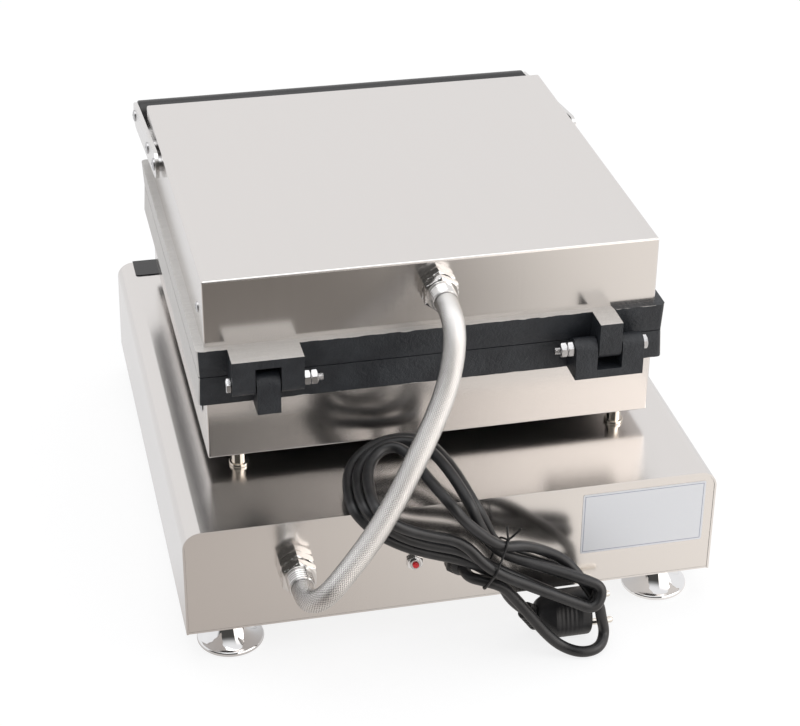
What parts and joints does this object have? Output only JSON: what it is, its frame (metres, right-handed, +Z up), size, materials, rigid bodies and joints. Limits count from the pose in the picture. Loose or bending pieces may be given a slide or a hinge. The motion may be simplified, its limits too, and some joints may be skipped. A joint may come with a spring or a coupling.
{
  "type": "takoyaki maker",
  "caption": "Countertop cooker for balls of batter: hinged pair of pocketed castings under steel pans, on a control base with feet, front handle, braided hose and tied mains cord.",
  "frame": {"origin": "bottom centre of the bounding box without the mains cord, on the table", "axes": "+Z up, +Y towards the hinges and the mains cord, -Y towards the handle and the controls"},
  "size_m": [0.39, 0.5162, 0.265],
  "materials": {
    "stainless": "brushed",
    "cast_metal": "as cast, machined on the parting face",
    "plated_steel": "satin",
    "bright_steel": "polished",
    "heater_sheath": "dark oxide",
    "wool": "fibrous",
    "black_plastic": "satin",
    "black_film": "gloss",
    "black_grip": "satin",
    "steel_shaft": "satin",
    "green_lens": "clear",
    "amber_lens": "clear",
    "red_plastic": "gloss",
    "gland_metal": "satin",
    "braid": "woven",
    "plate_face": "matt",
    "black_rubber": "satin",
    "tie_wire": "satin",
    "nickel_pins": "polished"
  },
  "bodies": {
    "base": {"base_shell": "stainless", "base_rear_panel": "stainless", "base_front_panel": "stainless", "control_overlay": "black_film", "base_bottom_plate": "stainless", "bottom_screws": "plated_steel", "feet": "bright_steel", "foot_nuts": "plated_steel", "support_posts": "bright_steel", "post_bolts": "plated_steel", "wire_sleeve": "plated_steel", "lock_nuts": "plated_steel", "lower_box": "stainless", "lower_box_screws": "plated_steel", "lower_casting": "cast_metal", "lower_heater": "heater_sheath", "lower_clamp_bars": "plated_steel", "lower_clamp_screws": "plated_steel", "lower_insulation": "wool", "hinge_bolt_right": "plated_steel", "hinge_nuts_right": "plated_steel", "thermostat_body": "black_plastic", "thermostat_bulb": "heater_sheath", "timer_body": "black_plastic", "lamp_bodies": "black_plastic", "lamp_lens_power": "green_lens", "lamp_lens_heat": "amber_lens", "switch_housing": "black_plastic", "limiter_body": "plated_steel", "limiter_nut": "plated_steel", "mains_gland": "black_plastic", "base_hose_gland": "gland_metal", "conduit_hose": "braid", "rating_plate": "plate_face", "terminal_block": "black_plastic", "cord_lead": "black_rubber", "cord_hank": "black_rubber", "cord_tie": "tie_wire", "mains_plug": "black_rubber", "plug_pins": "nickel_pins"},
    "lid": {"cover_pan": "stainless", "upper_casting": "cast_metal", "upper_heater": "heater_sheath", "upper_clamp_bars": "plated_steel", "upper_clamp_screws": "plated_steel", "upper_insulation": "wool", "cover_screws": "plated_steel", "cover_hose_gland": "gland_metal", "hinge_bolt_left": "plated_steel", "hinge_nuts_left": "plated_steel", "handle_bar": "black_grip", "handle_arms": "plated_steel", "handle_screws": "plated_steel", "handle_spacers": "plated_steel"},
    "thermostat": {"thermostat_knob": "black_plastic", "thermostat_shaft": "steel_shaft"},
    "timer": {"timer_knob": "black_plastic", "timer_shaft": "steel_shaft"},
    "rocker": {"power_rocker": "black_plastic"},
    "reset": {"reset_button": "red_plastic"}
  },
  "joints": [
    {"name": "lid_hinge", "type": "hinge", "parent": "base", "child": "lid", "pos_m": [0, 0.1413, 0.1922], "axis": [-1, 0, 0], "range_deg": [0, 95], "deforming": ["conduit_hose"]},
    {"name": "thermostat_turn", "type": "hinge", "parent": "base", "child": "thermostat", "pos_m": [0.04, -0.23394, 0.06946], "axis": [0, 0.9835, -0.1809], "range_deg": [0, 270]},
    {"name": "timer_turn", "type": "hinge", "parent": "base", "child": "timer", "pos_m": [0.125, -0.23394, 0.06946], "axis": [0, 0.9835, -0.1809], "range_deg": [0, 300]},
    {"name": "power_rock", "type": "hinge", "parent": "base", "child": "rocker", "pos_m": [-0.14, -0.22312, 0.06747], "axis": [-1, 0, 0], "range_deg": [0, 18]},
    {"name": "reset_push", "type": "slide", "parent": "base", "child": "reset", "axis": [0, -1, 0], "range_m": [0, 0.0015], "stiffness_N_per_m": 300, "springref_m": -0.001}
  ]
}
